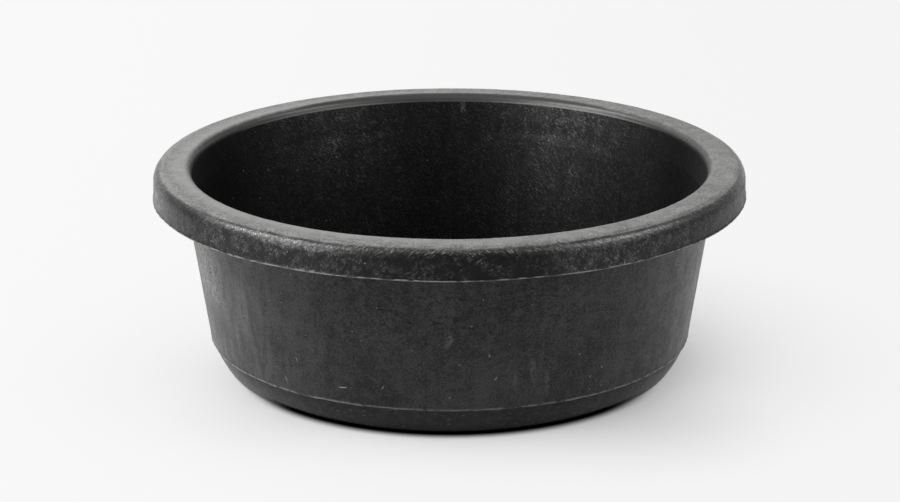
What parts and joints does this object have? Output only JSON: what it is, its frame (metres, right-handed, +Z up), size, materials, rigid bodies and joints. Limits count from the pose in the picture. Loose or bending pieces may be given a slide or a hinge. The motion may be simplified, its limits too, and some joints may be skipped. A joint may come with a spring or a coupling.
{
  "type": "feed bowl",
  "caption": "Round black rubber bowl for livestock minerals or feed, with a leaning wall, a thick flat-topped rim and a curved, set-in base.",
  "frame": {"origin": "centre of the circle that the bowl stands on, level with the standing surface", "axes": "+Z up along the bowl's axis; the bowl is round about it, so X and Y are free"},
  "size_m": [0.42, 0.42, 0.146],
  "materials": {
    "base_rubber": "moulded, dull black, lightly dusted",
    "wall_rubber": "moulded, leathery grain, dull black with fine scuffs",
    "rim_rubber": "moulded, worn grey on top, dark on the side"
  },
  "bodies": {
    "root": {"bowl_base": "base_rubber", "bowl_wall": "wall_rubber", "bowl_rim": "rim_rubber"}
  },
  "joints": []
}
